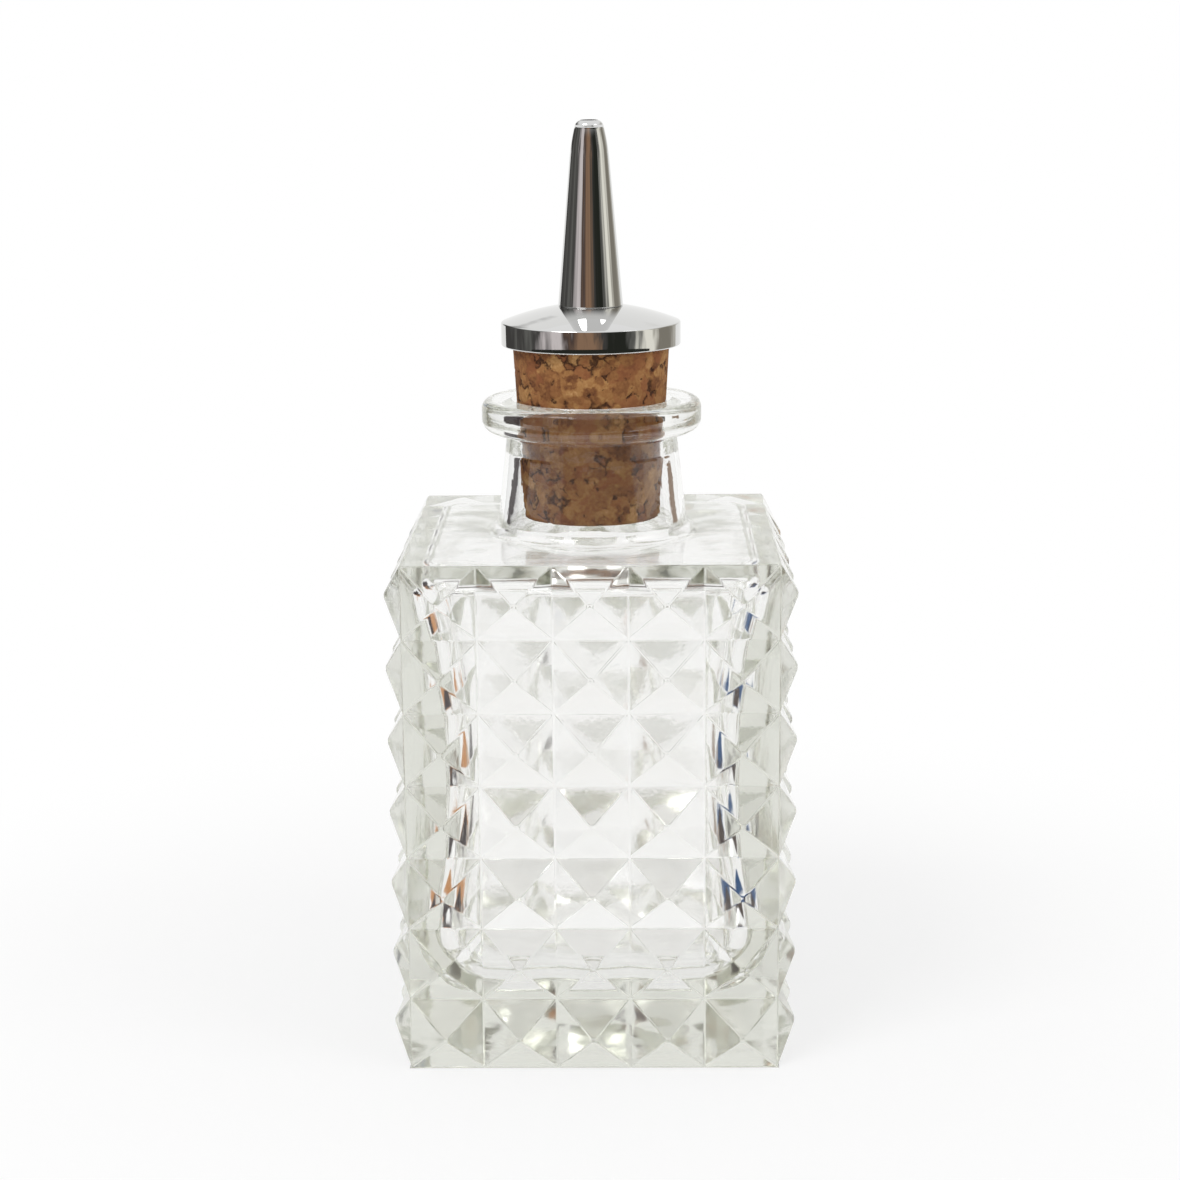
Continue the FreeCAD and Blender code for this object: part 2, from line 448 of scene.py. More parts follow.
def grown_mesh(name, tree, values, start=None):
    """The plain mesh that a tree grows from a start mesh, with its inputs set by identifier."""
    holder = linked(name, start or bpy.data.meshes.new(name))
    modifier = holder.modifiers.new(name, "NODES")
    modifier.node_group = tree
    for item in tree.interface.items_tree:
        if item.item_type == "SOCKET" and item.in_out == "INPUT" and item.name in values:
            modifier[item.identifier] = values[item.name]
    bpy.context.view_layer.update()
    ready = holder.evaluated_get(bpy.context.evaluated_depsgraph_get())
    mesh = bpy.data.meshes.new_from_object(ready)
    bpy.data.objects.remove(holder)
    print(name, "grown faces:", len(mesh.polygons))
    return mesh


print("trees can be grown")

# %% [markdown]
# The four sides of the bottle are rows of low pyramids, pressed in one mould. They could be modelled
# by hand, one inset and one scale for each. One rule makes them all: cut a panel into a grid, push
# each face out, shrink it nearly to a point and stand four copies of the panel round the axis.

# %% Pyramid panels
glass_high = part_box("glass_bottle")[1]
facet_columns = 5
facet_rows = 7
facet_height = 2.7 * MM
facet_tip_width = 0.7 * MM
body_half = glass_high.x - facet_height
body_width = 2 * body_half
SIDES = 4


def pyramid_panels():
    tree, graph, given = geometry_tree("pyramid_panels", [
        ("Width", "Float"), ("Height", "Float"), ("Columns", "Int"), ("Rows", "Int"),
        ("Facet Height", "Float"), ("Tip Share", "Float"), ("Material", "Material"),
    ])
    grid = graph.node("GeometryNodeMeshGrid", None, {
        "Size X": given["Width"],
        "Size Y": given["Height"],
        "Vertices X": given["Columns"] + 1,
        "Vertices Y": given["Rows"] + 1,
    })
    pushed, tops = graph.node("GeometryNodeExtrudeMesh", None, {
        "Mesh": grid, "Offset Scale": given["Facet Height"], "Individual": True,
    }, ("Mesh", "Top"))
    pointed = graph.node("GeometryNodeScaleElements", {"domain": "FACE"}, {
        "Geometry": pushed, "Selection": tops, "Scale": given["Tip Share"],
    })
    front = graph.node("ShaderNodeCombineXYZ", None, {
        "Y": given["Width"] * -0.5, "Z": given["Height"] * 0.5,
    })
    panel = graph.node("GeometryNodeTransform", None, {
        "Geometry": pointed, "Translation": front, "Rotation": (math.pi / 2, 0, 0),
    })
    centre = graph.node("GeometryNodeMeshLine", None, {"Count": SIDES, "Offset": (0, 0, 0)})
    index = graph.node("GeometryNodeInputIndex")
    turn = graph.node("ShaderNodeCombineXYZ", None, {"Z": index * (math.tau / SIDES)})
    facing = graph.node("FunctionNodeEulerToRotation", None, {0: turn})
    sides = graph.node("GeometryNodeInstanceOnPoints", None, {
        "Points": centre, "Instance": panel, "Rotation": facing,
    })
    close_tree(graph, sides, given["Material"])
    return tree


panel_mesh = grown_mesh("panels", pyramid_panels(), {
    "Width": body_width,
    "Height": body_height,
    "Columns": facet_columns,
    "Rows": facet_rows,
    "Facet Height": facet_height,
    "Tip Share": facet_tip_width * facet_columns / body_width,
    "Material": glass_finish,
})

# %% [markdown]
# Everything else on the bottle is turned, or nearly so, and starts as a profile: half of a cut
# through the axis. A profile could be a long list of points read off a drawing. Here it is a few
# corners, each with the radius that rounds it, so a size can be changed in one place.

# %% Profiles
ARC_STEPS = 8


def arc_points(before, here, after, radius):
    """Points of the arc that rounds a corner between its two neighbours."""
    back = (before - here).normalized()
    on = (after - here).normalized()
    half_angle = back.angle(on) / 2
    centre = here + (back + on).normalized() * (radius / math.sin(half_angle))
    reach = radius / math.tan(half_angle)
    start = here + back * reach - centre
    stop = here + on * reach - centre
    first = math.atan2(start.y, start.x)
    sweep = math.atan2(start.x * stop.y - start.y * stop.x, start.dot(stop))
    angles = [first + sweep * step / ARC_STEPS for step in range(ARC_STEPS + 1)]
    return [centre + Vector((math.cos(angle), math.sin(angle))) * radius for angle in angles]


def rounded(corners):
    """Points along (radius, height) corners; a third number rounds a corner with an arc."""
    places = [Vector(corner[:2]) for corner in corners]
    line = []
    for index, corner in enumerate(corners):
        if len(corner) == 2:
            line.append(places[index])
        else:
            after = places[(index + 1) % len(places)]
            line += arc_points(places[index - 1], places[index], after, corner[2])
    return line


print("points on a rounded corner:", ARC_STEPS + 1)

# %% [markdown]
# Rings of points follow a profile, and bands of faces join them. Blender's own Screw modifier turns a
# profile too, but only into round things. Here a ring may also be a square with round corners, so
# that the neck's bore can open into the square hollow below it in one unbroken skin.

# %% Rings
STRAIGHT_STEPS = 14
CORNER_STEPS = 8
CORNER_START = math.radians(40)


def ring_angles():
    """Directions round the axis, closer together at the corners of the square."""
    eighth = [CORNER_START * i / STRAIGHT_STEPS for i in range(STRAIGHT_STEPS)]
    span = math.pi / 4 - CORNER_START
    eighth += [CORNER_START + span * i / CORNER_STEPS for i in range(CORNER_STEPS)]
    quarter = eighth + [math.pi / 4] + [math.pi / 2 - angle for angle in reversed(eighth[1:])]
    return [angle + math.pi / 2 * side for side in range(SIDES) for angle in quarter]


RING = ring_angles()


def square_reach(angle, half, corner):
    """Distance from the axis to a square with round corners, in one direction."""
    folded = abs((angle + math.pi / 4) % (math.pi / 2) - math.pi / 4)
    middle = half - corner
    if half * math.tan(folded) <= middle:
        return half / math.cos(folded)
    across = middle * (math.cos(folded) + math.sin(folded))
    aside = middle * (math.cos(folded) - math.sin(folded))
    return across + math.sqrt(max(corner**2 - aside**2, 0.0))


def add_ring(bm, half, corner, height):
    """One ring of vertices; half equal to corner gives a circle."""
    ring = []
    for angle in RING:
        reach = square_reach(angle, half, corner)
        ring.append(bm.verts.new((reach * math.cos(angle), reach * math.sin(angle), height)))
    return ring


def add_bands(bm, rings):
    """Smooth bands of faces between each ring and the next."""
    for first, second in zip(rings, rings[1:]):
        for i in range(len(first)):
            j = (i + 1) % len(first)
            bm.faces.new((first[i], first[j], second[j], second[i])).smooth = True


def outward_mesh(name, bm):
    """The mesh of a bmesh, with its faces outwards; a closed skin has no open edges, a sheet has some."""
    bmesh.ops.recalc_face_normals(bm, faces=bm.faces)
    open_edges = sum(1 for edge in bm.edges if len(edge.link_faces) != 2)
    mesh = bpy.data.meshes.new(name)
    bm.to_mesh(mesh)
    bm.free()
    print(name, "faces:", len(mesh.polygons), "open edges:", open_edges)
    return mesh


print("points in a ring:", len(RING))

# %% [markdown]
# The neck is a short cone with a fat rounded lip, and its bore is a tapered seat for the cork. Both
# walls belong to one profile, because light bends at each of them: it climbs from the shoulder, goes
# over the lip and runs down the bore to the roof of the hollow.

# %% Neck and lip
cork_low, cork_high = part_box("cork_stopper")
cork_bottom_radius = 19.9 / 2 * MM
cork_top_radius = cork_high.x
lip_top = glass_high.z
lip_height = 4.7 * MM
lip_wall = 5.1 * MM
lip_top_round = 1.3 * MM
lip_under_round = 1.8 * MM
lip_root_round = 0.7 * MM
neck_wall = 1.9 * MM
neck_root_round = 2.0 * MM
mouth_chamfer = 0.7 * MM
mouth_edge_round = 0.2 * MM
seat_length = 8.2 * MM
seat_edge_round = 3.0 * MM
seat_clearance = 0.05 * MM
throat_radius = 12.2 * MM
throat_round = 2.4 * MM
shoulder_thickness = 3.2 * MM


def cork_radius(height):
    """Radius of the tapered cork at a height."""
    up = (height - cork_low.z) / (cork_high.z - cork_low.z)
    return cork_bottom_radius + (cork_top_radius - cork_bottom_radius) * up


def neck_profile():
    """From the shoulder up the neck, over the lip and down the bore to the roof of the hollow."""
    seat_bottom = lip_top - seat_length
    mouth = cork_radius(lip_top) + seat_clearance
    seat_end = cork_radius(seat_bottom) + seat_clearance
    root = throat_radius + neck_wall
    lip = mouth + lip_wall
    lip_bottom = lip_top - lip_height
    return rounded([
        (root + 2 * neck_root_round, body_height),
        (root, body_height, neck_root_round),
        (seat_end + neck_wall, lip_bottom, lip_root_round),
        (lip, lip_bottom, lip_under_round),
        (lip, lip_top, lip_top_round),
        (mouth + mouth_chamfer, lip_top, mouth_edge_round),
        (mouth, lip_top - mouth_chamfer, mouth_edge_round),
        (seat_end, seat_bottom, seat_edge_round),
        (throat_radius, body_height, throat_round),
        (throat_radius + shoulder_thickness, body_height - shoulder_thickness),
    ])


print("points on the neck profile:", len(neck_profile()))

# %% [markdown]
# The hollow is what the eye reads as the inside of the bottle: a square room with round corners,
# whose walls bow in at the waist, over a thick base with a shallow dish under it. A plain inset copy
# of the outside would miss that bow, so each ring takes its width and corner from its height.

# %% Hollow and dish
base_thickness = 11.5 * MM
wall_top = 2.7 * MM
wall_waist = 5.5 * MM
wall_bottom = 3.3 * MM
waist_height = 43.0 * MM
hollow_corner = 4.0 * MM
heel_corner = 7.5 * MM
heel_height = 8.0 * MM
roof_round = 1.6 * MM
floor_round = 5.5 * MM
dish_radius = 18.0 * MM
dish_depth = 0.8 * MM
HOLLOW_RINGS = 28
DISH_RINGS = 6
hollow_roof = body_height - shoulder_thickness
wall_start = hollow_roof - roof_round
wall_end = base_thickness + floor_round


def hollow_section(height, inset=0.0):
    """(half width, corner radius, height) of the hollow at a height, less an inset in its rounded ends."""
    level = min(max(height, wall_end), wall_start)
    end, wall = (wall_start, wall_top) if level > waist_height else (wall_end, wall_bottom)
    bow = ((level - waist_height) / (end - waist_height)) ** 2
    half = body_half - wall_waist + (wall_waist - wall) * bow
    heel = max(0.0, 1 - (level - wall_end) / heel_height)
    corner = hollow_corner + (heel_corner - hollow_corner) * heel**2
    return half - inset, corner - inset, height


def hollow_sections():
    """The hollow's sections from its roof to its floor."""
    quarter = [math.pi / 2 * step / ARC_STEPS for step in range(ARC_STEPS)]
    sections = []
    for angle in quarter:
        drop = roof_round * (1 - math.cos(angle))
        sections.append(hollow_section(hollow_roof - drop, roof_round * (1 - math.sin(angle))))
    for step in range(HOLLOW_RINGS + 1):
        sections.append(hollow_section(wall_start + (wall_end - wall_start) * step / HOLLOW_RINGS))
    for angle in reversed(quarter):
        rise = floor_round * (1 - math.cos(angle))
        sections.append(hollow_section(base_thickness + rise, floor_round * (1 - math.sin(angle))))
    return sections


def dish_sections():
    """Circles of the dish under the base, from its edge to its middle."""
    shares = [1 - step / DISH_RINGS for step in range(DISH_RINGS)]
    return [(dish_radius * share, dish_radius * share, dish_depth * (1 - share**2)) for share in shares]


print("rings in the hollow:", len(hollow_sections()))

# %% [markdown]
# Now the glass closes into one skin: panels, shoulder, neck, hollow and foot. A boolean of solids would
# do it too, but leaves ragged triangles that show in glass. The mould's edges get a small bevel,
# because pressed glass is never sharp. All faces are smooth, so that the renderer counts one skin on
# the way in and out, and weighted normals keep the facets flat between their bevels.

# %% The glass bottle
rim_margin = 1.2 * MM
mould_edge = 0.22 * MM
weld_distance = mould_edge / 10
MOULD_EDGE_STEPS = 2


def dress(piece, node, body):
    """Lets a piece stand for a CAD node and move with its body."""
    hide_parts(node)
    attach(piece, body)


def flat_ring(bm, outline, ring, height):
    """Fills the flat ground between a square outline and a ring, with a margin along the outline."""
    ordered = sorted(outline, key=lambda vert: math.atan2(vert.co.y, vert.co.x))
    share = (body_half - rim_margin) / body_half
    inner = [bm.verts.new((vert.co.x * share, vert.co.y * share, height)) for vert in ordered]
    add_bands(bm, [ordered, inner])
    loops = (inner, ring)
    edges = [bm.edges.get((loop[i - 1], loop[i])) for loop in loops for i in range(len(loop))]
    bmesh.ops.triangle_fill(bm, use_beauty=True, edges=edges)


def bevel_mould_edges(bm, moulded):
    """Rounds every edge that the mould made."""
    edges = [edge for edge in bm.edges if edge.verts[0] in moulded and edge.verts[1] in moulded]
    bmesh.ops.bevel(
        bm,
        geom=edges,
        offset=mould_edge,
        offset_type="OFFSET",
        segments=MOULD_EDGE_STEPS,
        profile=0.5,
        affect="EDGES",
        clamp_overlap=True,
    )


def glass_mesh():
    bm = bmesh.new()
    bm.from_mesh(panel_mesh)
    bmesh.ops.remove_doubles(bm, verts=bm.verts, dist=weld_distance)
    moulded = set(bm.verts)
    rim = {vert for edge in bm.edges if edge.is_boundary for vert in edge.verts}
    neck = [add_ring(bm, point.x, point.x, point.y) for point in neck_profile()]
    hollow = [add_ring(bm, *section) for section in hollow_sections()]
    add_bands(bm, neck + hollow)
    dish = [add_ring(bm, *section) for section in dish_sections()]
    add_bands(bm, dish)
    for pole in (hollow[-1], dish[-1]):
        bm.faces.new(pole)
    half_way = body_height / 2
    flat_ring(bm, [vert for vert in rim if vert.co.z > half_way], neck[0], body_height)
    flat_ring(bm, [vert for vert in rim if vert.co.z < half_way], dish[0], 0.0)
    bevel_mould_edges(bm, moulded)
    for face in bm.faces:
        face.smooth = True
    return outward_mesh("glass_bottle_skin", bm)


def keep_facets_flat(piece):
    """Lets the larger face rule the shading at each edge, so that bevels round and facets stay flat."""
    modifier = piece.modifiers.new("flat_facets", "WEIGHTED_NORMAL")
    ready = piece.evaluated_get(bpy.context.evaluated_depsgraph_get())
    piece.data = bpy.data.meshes.new_from_object(ready)
    piece.modifiers.remove(modifier)


bottle = linked("glass_bottle_skin", glass_mesh())
keep_facets_flat(bottle)
bottle.data.materials.clear()
bottle.data.materials.append(glass_finish)
dress(bottle, "glass_bottle", "bottle")

# %% [markdown]
# The cap, spout and tube are turned on a lathe and have a hole right through. A cylinder with bevels
# would need poles and booleans, so each one is a closed profile swept round the axis instead. The
# cap is a low dome over a short skirt, hollow underneath where it sits on the cork.

# %% The cap's profile
cap_low, cap_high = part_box("flange_cap")
spout_low, spout_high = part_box("dasher_spout")
cap_skirt_height = 3.3 * MM
cap_wall = 1.1 * MM
cap_edge_round = 0.3 * MM
cap_lower_round = 0.2 * MM
tube_radius = 3.5 * MM
fit = 0.02 * MM
DOME_STEPS = 16


def cap_profile():
    """Round the cap's underside and skirt, then over the dome to the land under the spout."""
    rim = cap_low.z + cap_skirt_height
    land = spout_high.x
    outer = cap_high.x
    dome = []
    for step in range(1, DOME_STEPS):
        radius = outer + (land - outer) * step / DOME_STEPS
        fall = (radius**2 - land**2) / (outer**2 - land**2)
        dome.append(Vector((radius, cap_high.z - (cap_high.z - rim) * fall)))
    below = rounded([
        (land, cap_high.z),
        (tube_radius + fit, cap_high.z),
        (tube_radius + fit, cork_high.z),
        (outer - cap_wall, cork_high.z),
        (outer - cap_wall, cap_low.z),
        (outer, cap_low.z, cap_lower_round),
        (outer, rim, cap_edge_round),
        tuple(dome[0]),
    ])
    return below + dome[1:]


print("points on the cap profile:", len(cap_profile()))

# %% [markdown]
# The spout is a slim cone that draws in to a rounded nose with a small hole, and the tube screws into
# a socket at its foot. Below the cork the tube ends in a rim, which clamps cap and cork together.
# Most of this is hidden, but the model comes apart, so the hidden ends are made as well.

# %% The spout's and the tube's profiles
tube_low, tube_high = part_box("stem_tube")
spout_shoulder_radius = 2.65 * MM
spout_nose_length = 3.0 * MM
spout_tip_radius = 1.85 * MM
spout_nose_round = 1.1 * MM
spout_shoulder_round = 28.0 * MM
spout_base_round = 0.2 * MM
orifice_radius = 1.1 * MM
orifice_length = 2.0 * MM
orifice_edge_round = 0.2 * MM
socket_relief = 0.6 * MM
tube_bore_radius = 2.5 * MM
tube_rim_round = 0.3 * MM


def spout_profile():
    nose = spout_high.z - spout_nose_length
    socket_top = tube_high.z + socket_relief
    return rounded([
        (tube_radius + fit, spout_low.z),
        (spout_high.x, spout_low.z, spout_base_round),
        (spout_shoulder_radius, nose, spout_shoulder_round),
        (spout_tip_radius, spout_high.z, spout_nose_round),
        (orifice_radius, spout_high.z, orifice_edge_round),
        (orifice_radius, spout_high.z - orifice_length),
        (tube_bore_radius, socket_top),
        (tube_radius + fit, socket_top),
    ])


def tube_profile():
    return rounded([
        (tube_bore_radius, tube_low.z),
        (tube_high.x, tube_low.z, tube_rim_round),
        (tube_high.x, cork_low.z, tube_rim_round),
        (tube_radius, cork_low.z),
        (tube_radius, tube_high.z),
        (tube_bore_radius, tube_high.z),
    ])


print("points on the spout profile:", len(spout_profile()))

# %% [markdown]
# Sweeping is the same for all three: one ring of points for each point of the profile, and bands
# between them, with the last ring joined to the first. So no pole or seam is left to close.

# %% Turned metal
TURN_STEPS = 144


def swept(profile, steps):
    """A bmesh of a closed profile, swept round the axis."""
    bm = bmesh.new()
    rings = []
    for point in profile:
        ring = []
        for step in range(steps):
            angle = math.tau * step / steps
            ring.append(bm.verts.new((point.x * math.cos(angle), point.x * math.sin(angle), point.y)))
        rings.append(ring)
    add_bands(bm, rings + rings[:1])
    return bm


metal = [
    ("cap_dome", "flange_cap", cap_profile(), chrome_finish, "polished_chrome"),
    ("spout_cone", "dasher_spout", spout_profile(), chrome_finish, "polished_chrome"),
    ("tube_stem", "stem_tube", tube_profile(), tube_finish, "steel_tube"),
]
for name, node, profile, finish, slot in metal:
    piece = linked(name, outward_mesh(name, swept(profile, TURN_STEPS)))
    piece.data.materials.append(finish)
    dress(piece, node, "dasher_top")

# %% [markdown]
# The cork is a tapered plug, and its skin is rough to the touch where seams and pits sink in. Bump
# alone would only shade that, and the outline would stay smooth. So a Geometry Nodes tree moves the
# turned mesh inwards with the same textures that colour it, all but the bore for the tube.

# %% The cork
cork_bore_radius = 3.55 * MM
cork_edge_round = 0.5 * MM
cork_row = 0.32 * MM
cork_crack_depth = 0.22 * MM
CORK_TURN_STEPS = 220


def cork_skin():
    tree, graph, given = geometry_tree("cork_skin", [
        ("Crack Depth", "Float"), ("Bore", "Float"), ("Material", "Material"),
    ])
    place = graph.node("GeometryNodeInputPosition")
    depth = cork_cracks(graph, granule_place(graph, place)) * given["Crack Depth"]
    normal = graph.node("GeometryNodeInputNormal")
    offset = vector_maths(graph, "SCALE", {0: normal, "Scale": 0 - depth})
    moved = graph.node("GeometryNodeSetPosition", None, {
        "Geometry": given["Geometry"],
        "Selection": graph.maths("GREATER_THAN", axis_reach(graph, place), given["Bore"]),
        "Offset": offset,
    })
    close_tree(graph, moved, given["Material"])
    return tree


def cork_profile():
    """The plain turned cork, cut into short rows so that its skin can move."""
    corners = rounded([
        (cork_bore_radius, cork_low.z),
        (cork_bottom_radius, cork_low.z, cork_edge_round),
        (cork_top_radius, cork_high.z, cork_edge_round),
        (cork_bore_radius, cork_high.z),
    ])
    profile = []
    for index, point in enumerate(corners):
        following = corners[(index + 1) % len(corners)]
        rows = max(1, round((following - point).length / cork_row))
        profile += [point.lerp(following, row / rows) for row in range(rows)]
    return profile


blank = outward_mesh("cork_blank", swept(cork_profile(), CORK_TURN_STEPS))
cork = linked("cork_plug", grown_mesh("cork_skin", cork_skin(), {
    "Crack Depth": cork_crack_depth,
    "Bore": cork_bore_radius + cork_edge_round,
    "Material": cork_finish,
}, blank))
dress(cork, "cork_stopper", "cork")

# %% [markdown]
# The studio is a pale floor under a white sky. More light would make them white, but would also burn
# out the object. So they are plain white to the camera and to mirror and glass rays, and light the
# object at a plain level. Near the bottle the floor stays real enough to hold a soft shadow, and
# less of it shows through the glass, which would look dirty otherwise.

# %% Floor and sky
FLOOR_SIDES = 64
floor_radius = 4.0
floor_drop = 0.05 * MM
floor_grey = (0.88, 0.88, 0.88)
sky_grey = (0.62, 0.62, 0.62)
white = (1.0, 1.0, 1.0)
shadow_start = 0.048
shadow_stop = 0.16
shadow_share = 0.3
shadow_share_in_glass = 0.2


def ray_kinds(graph):
    """1 for rays that show the set, from the camera, mirrored or through glass, and 1 for glass alone."""
    kinds = ("Is Camera Ray", "Is Glossy Ray", "Is Transmission Ray")
    camera, mirrored, through = graph.node("ShaderNodeLightPath", output=kinds)
    return camera.larger(mirrored).larger(through), through


def floor_finish():
    material, graph = new_material("studio_floor")
    place = graph.node("ShaderNodeTexCoord", output="Object")
    seen, through = ray_kinds(graph)
    real_share = shadow_share - through * (shadow_share - shadow_share_in_glass)
    near = remap(graph, axis_reach(graph, place), shadow_start, shadow_stop, 1.0, 0.0)
    paper = graph.node("ShaderNodeBsdfDiffuse", None, {"Color": floor_grey})
    glow = graph.node("ShaderNodeEmission", None, {"Color": white, "Strength": 1.0})
    shares = {0: seen * (1 - near * real_share), 1: paper, 2: glow}
    surface(graph, graph.node("ShaderNodeMixShader", None, shares))
    return material


def studio_floor():
    bm = bmesh.new()
    bmesh.ops.create_circle(bm, cap_ends=True, radius=floor_radius, segments=FLOOR_SIDES)
    bmesh.ops.translate(bm, verts=bm.verts, vec=(0, 0, -floor_drop))
    floor = linked("studio_floor", outward_mesh("studio_floor", bm))
    floor.data.materials.append(floor_finish())


def studio_sky():
    world = bpy.data.worlds.new("studio_sky")
    bpy.context.scene.world = world
    world.use_nodes = True
    world.node_tree.nodes.clear()
    graph = Graph(world.node_tree)
    seen = ray_kinds(graph)[0]
    colour = blend(graph, seen, sky_grey, white)
    sky = graph.node("ShaderNodeBackground", None, {"Color": colour, "Strength": 1.0})
    graph.node("ShaderNodeOutputWorld", None, {"Surface": sky})


studio_floor()
studio_sky()

# %% [markdown]
# Chrome and glass only look right with something to mirror and bend. A photographer stands cards round
# the set, and so does this lesson. They could be real boards, but then they would also cast shadows
# and tint the cork. So a card is a curved strip of plain light, hidden from the camera, from shadows
# and from diffuse light, and seen either by mirrors or through glass.

# %% Cards round the set
CARD_STEP = 4


def plain_paint(name, colour):
    """A card's paint in one colour."""
    material, graph = new_material(name)
    surface(graph, graph.node("ShaderNodeEmission", None, {"Color": colour, "Strength": 1.0}))
    return material


def card(name, paint, start, stop, foot, head, for_glass):
    """A curved card between two azimuths in degrees, 0 towards the camera.

    Its foot and head are (distance from the axis, height).
    """
    bm = bmesh.new()
    steps = max(2, round((stop - start) / CARD_STEP))
    columns = []
    for step in range(steps + 1):
        turn = math.radians(start + (stop - start) * step / steps)
        ends = [(math.sin(turn) * reach, -math.cos(turn) * reach, up) for reach, up in (foot, head)]
        columns.append([bm.verts.new(end) for end in ends])
    for first, second in zip(columns, columns[1:]):
        bm.faces.new((first[0], first[1], second[1], second[0]))
    piece = linked(name, outward_mesh(name, bm))
    piece.data.materials.append(paint)
    piece.visible_camera = False
    piece.visible_diffuse = False
    piece.visible_shadow = False
    piece.visible_glossy = not for_glass
    piece.visible_transmission = for_glass


print("a card has a face every", CARD_STEP, "degrees")

# %% [markdown]
# The chrome mirrors a whole room. It could be a panorama picture, but a few tones are enough: one
# tall screen right round the set, painted by direction with dark shelves on the left, a wooden door
# by the camera, a dark curtain, a bright window on the right and pale walls behind. A stretched
# noise pulls the tones into streaks, and the paint pales upwards like a ceiling.

# %% The room that the chrome mirrors
FULL_TURN = 360
pale_wall = (0.96, 0.96, 0.95)
light_wall = (0.52, 0.50, 0.45)
tan_wall = (0.27, 0.25, 0.21)
soft_white = (0.74, 0.68, 0.68)
slate = (0.15, 0.15, 0.14)
charcoal = (0.065, 0.063, 0.060)
dark_wood = (0.085, 0.060, 0.052)
door_brown = (0.31, 0.19, 0.12)
dark_green = (0.024, 0.026, 0.021)
cream = (1.00, 0.98, 0.88)
room_tones = [
    (-165, pale_wall), (-150, charcoal), (-124, charcoal), (-108, slate), (-98, charcoal),
    (-84, slate), (-70, charcoal), (-49, soft_white), (-42, soft_white), (-29, dark_wood),
    (-8, door_brown), (2, door_brown), (13, charcoal), (28, dark_green), (44, dark_green),
    (56, slate), (72, cream), (82, cream), (97, tan_wall), (120, tan_wall), (135, light_wall),
    (160, pale_wall),
]
fade_start = 0.24
fade_stop = 0.38
streaks_per_turn = 40.0
streaks_per_metre = 9.0
streak_shift = 0.14
screen_distance = 0.32
screen_top = 0.40
paper_start = 138
paper_stop = 222
paper_top = 0.14
table_reach = 80
table_top = 0.045
inner_distance = 0.31


def room_paint():
    """Upright tones by direction round the axis, with streaky borders."""
    material, graph = new_material("room_paint")
    place = graph.node("ShaderNodeTexCoord", output="Object")
    x, y, z = graph.node("ShaderNodeSeparateXYZ", None, {0: place}, ("X", "Y", "Z"))
    turn = graph.maths("ARCTAN2", x, 0 - y) / math.tau + 0.5
    stretched = graph.node("ShaderNodeCombineXYZ", None, {
        "X": turn * streaks_per_turn, "Z": z * streaks_per_metre,
    })
    streaked = turn + (noise(graph, stretched, 1.0, detail=3.0) - 0.5) * streak_shift
    stops = [(degrees / FULL_TURN + 0.5, tone) for degrees, tone in room_tones]
    tones = graph.node("ShaderNodeValToRGB", {"stops": stops}, {0: streaked})
    faded = blend(graph, remap(graph, z, fade_start, fade_stop), tones, pale_wall)
    surface(graph, graph.node("ShaderNodeEmission", None, {"Color": faded, "Strength": 1.0}))
    return material


def chrome_card(name, paint, start, stop, distance, top):
    card(name, paint, start, stop, (distance, 0), (distance, top), False)


paper = plain_paint("paper_behind", pale_wall)
table = plain_paint("table_front", dark_green)
chrome_card("room_screen", room_paint(), -FULL_TURN / 2, FULL_TURN / 2, screen_distance, screen_top)
chrome_card("paper_behind", paper, paper_start, paper_stop, inner_distance, paper_top)
chrome_card("table_front", table, -table_reach, table_reach, inner_distance, table_top)

# %% [markdown]
# Clear glass is drawn by its edges: where a surface turns away, it shows what stands at the sides. A
# white set alone would leave the bottle almost invisible. So each side has a low coloured skirting
# and a dark wall above it, a brown post draws the neck's right side, and a dark strip hangs overhead
# behind. A tan board leans in front, or else white reflections inside the neck would veil the cork.
# Only rays through glass see these cards.

# %% Cards for the glass
dark_plum = (0.045, 0.033, 0.036)
dark_brown = (0.060, 0.038, 0.030)
mid_brown = (0.24, 0.16, 0.11)
pale_tan = (0.60, 0.51, 0.43)
amber = (0.58, 0.29, 0.13)
deep_blue = (0.03, 0.09, 0.22)
side = 0.20
skirting = 0.034
side_top = 0.085
end_top = 0.13
ceiling = 0.50
ceiling_near = 0.05
ceiling_far = 0.22
board_foot = (0.16, 0.004)
board_head = (0.30, 0.13)
glass_cards = [
    ("left_skirting", amber, -122, -62, (side, 0), (side, skirting)),
    ("left_wall", dark_plum, -138, -62, (side, skirting), (side, side_top)),
    ("left_end", dark_plum, -138, -100, (side, side_top), (side, end_top)),
    ("right_skirting", deep_blue, 62, 122, (side, 0), (side, skirting)),
    ("right_wall", dark_brown, 62, 110, (side, skirting), (side, side_top)),
    ("right_post", mid_brown, 126, 138, (side, skirting), (side, side_top)),
    ("front_board", pale_tan, -62, 62, board_foot, board_head),
    ("ceiling", dark_brown, 95, 265, (ceiling_far, ceiling), (ceiling_near, ceiling)),
]
for name, colour, start, stop, foot, head in glass_cards:
    card(name, plain_paint(name, colour), start, stop, foot, head, True)

# %% [markdown]
# Two large soft lamps give the cork its form: a key from the upper left and a weaker fill from the
# right. Small lamps would be brighter points in the chrome and give hard shadows. These are wide
# discs, so the chrome shows soft patches and the shadow has no edge.

# %% Lamps
lamp_target = Vector((0, 0, 0.08))
lamp_size = 0.5
key_place = (-0.45, -0.50, 0.75)
key_power = 4.0
fill_place = (0.60, -0.30, 0.50)
fill_power = 1.5


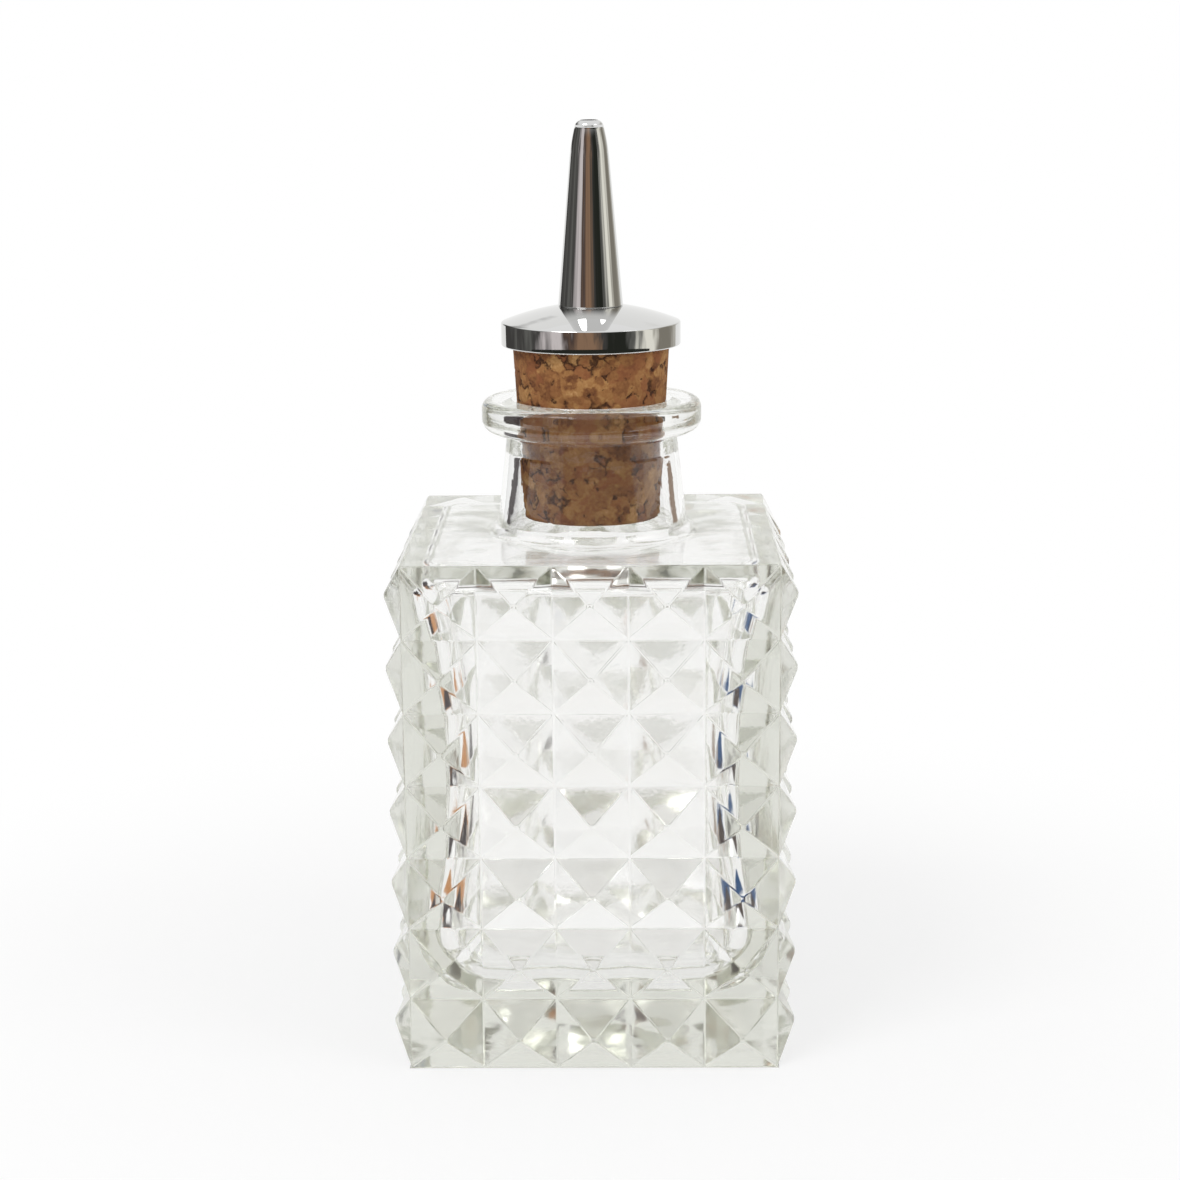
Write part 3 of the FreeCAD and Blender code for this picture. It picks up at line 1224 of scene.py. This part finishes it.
def softbox(name, place, power):
    lamp = bpy.data.lights.new(name, "AREA")
    lamp.shape = "DISK"
    lamp.size = lamp_size
    lamp.energy = power
    holder = linked(name, lamp)
    holder.location = place
    holder.rotation_euler = (lamp_target - Vector(place)).to_track_quat("-Z", "Y").to_euler()
    print(name, "power", power)


softbox("key_softbox", key_place, key_power)
softbox("fill_softbox", fill_place, fill_power)

# %% [markdown]
# The camera stands where the photographer stood: a little above the bottle, looking slightly down on
# it. It could be aimed by eye, but its place and turn came from fitting the corners of the bottle to
# the picture, so the model and the picture can be laid over each other.

# %% Camera
picture_px = 1180
focal_px = 2496.0
sensor = 36.0
camera_place = Vector((5.75, -363.6, 147.92)) * MM
camera_yaw = math.radians(0.980)
camera_pitch = math.radians(12.865)
camera_roll = math.radians(-0.518)


def photo_camera():
    data = bpy.data.cameras.new("photo_camera")
    data.sensor_width = sensor
    data.lens = sensor * focal_px / picture_px
    data.dof.use_dof = False
    camera = linked("photo_camera", data)
    ahead = Vector((
        -math.sin(camera_yaw) * math.cos(camera_pitch),
        math.cos(camera_yaw) * math.cos(camera_pitch),
        -math.sin(camera_pitch),
    ))
    level = Vector((math.cos(camera_yaw), math.sin(camera_yaw), 0))
    rise = level.cross(ahead)
    right = level * math.cos(camera_roll) + rise * math.sin(camera_roll)
    up = rise * math.cos(camera_roll) - level * math.sin(camera_roll)
    facing = Matrix((right, up, -ahead)).transposed().to_4x4()
    camera.matrix_world = Matrix.Translation(camera_place) @ facing
    bpy.context.scene.camera = camera
    print("lens %.1f mm" % data.lens)


photo_camera()

# %% [markdown]
# Light goes in and out of the pyramids many times before it leaves, and a path that is cut short turns
# black. So the glass gets more bounces than usual. The Standard view shows colours as written.

# %% Light paths and view
light_bounces = 32
scene = bpy.context.scene
scene.cycles.max_bounces = light_bounces
scene.cycles.glossy_bounces = light_bounces
scene.cycles.transmission_bounces = light_bounces
scene.view_settings.view_transform = "Standard"
print("bounces:", light_bounces)

# %% [markdown]
# The dressed model has to keep the size of the CAD model.
